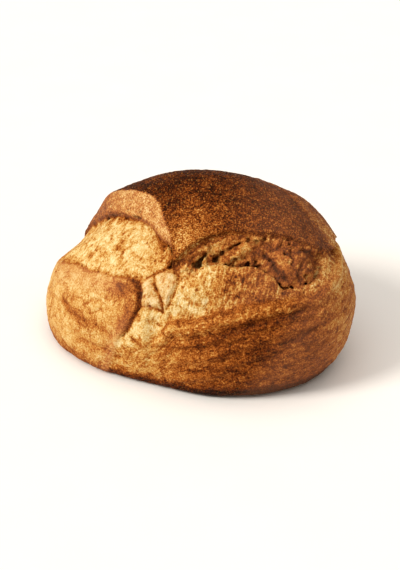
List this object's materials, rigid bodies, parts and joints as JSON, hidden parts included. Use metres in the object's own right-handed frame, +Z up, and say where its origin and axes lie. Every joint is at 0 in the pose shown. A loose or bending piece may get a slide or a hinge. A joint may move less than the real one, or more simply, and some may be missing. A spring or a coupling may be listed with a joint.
{
  "type": "sourdough loaf",
  "caption": "Round hearth-baked sourdough loaf with a dark crust, scored and burst open on top, resting on its flat base.",
  "frame": {"origin": "centre of the loaf's bounding box on the flat base it rests on", "axes": "+Z up from the base to the crown, +X along the loaf's longer side, and -Y towards the side where the score tore open"},
  "size_m": [0.2374, 0.1944, 0.1325],
  "materials": {
    "baked_crust": "matte baked bread crust, golden to dark brown, with paler torn crumb"
  },
  "bodies": {
    "root": {"sourdough_loaf": "baked_crust"}
  },
  "joints": []
}
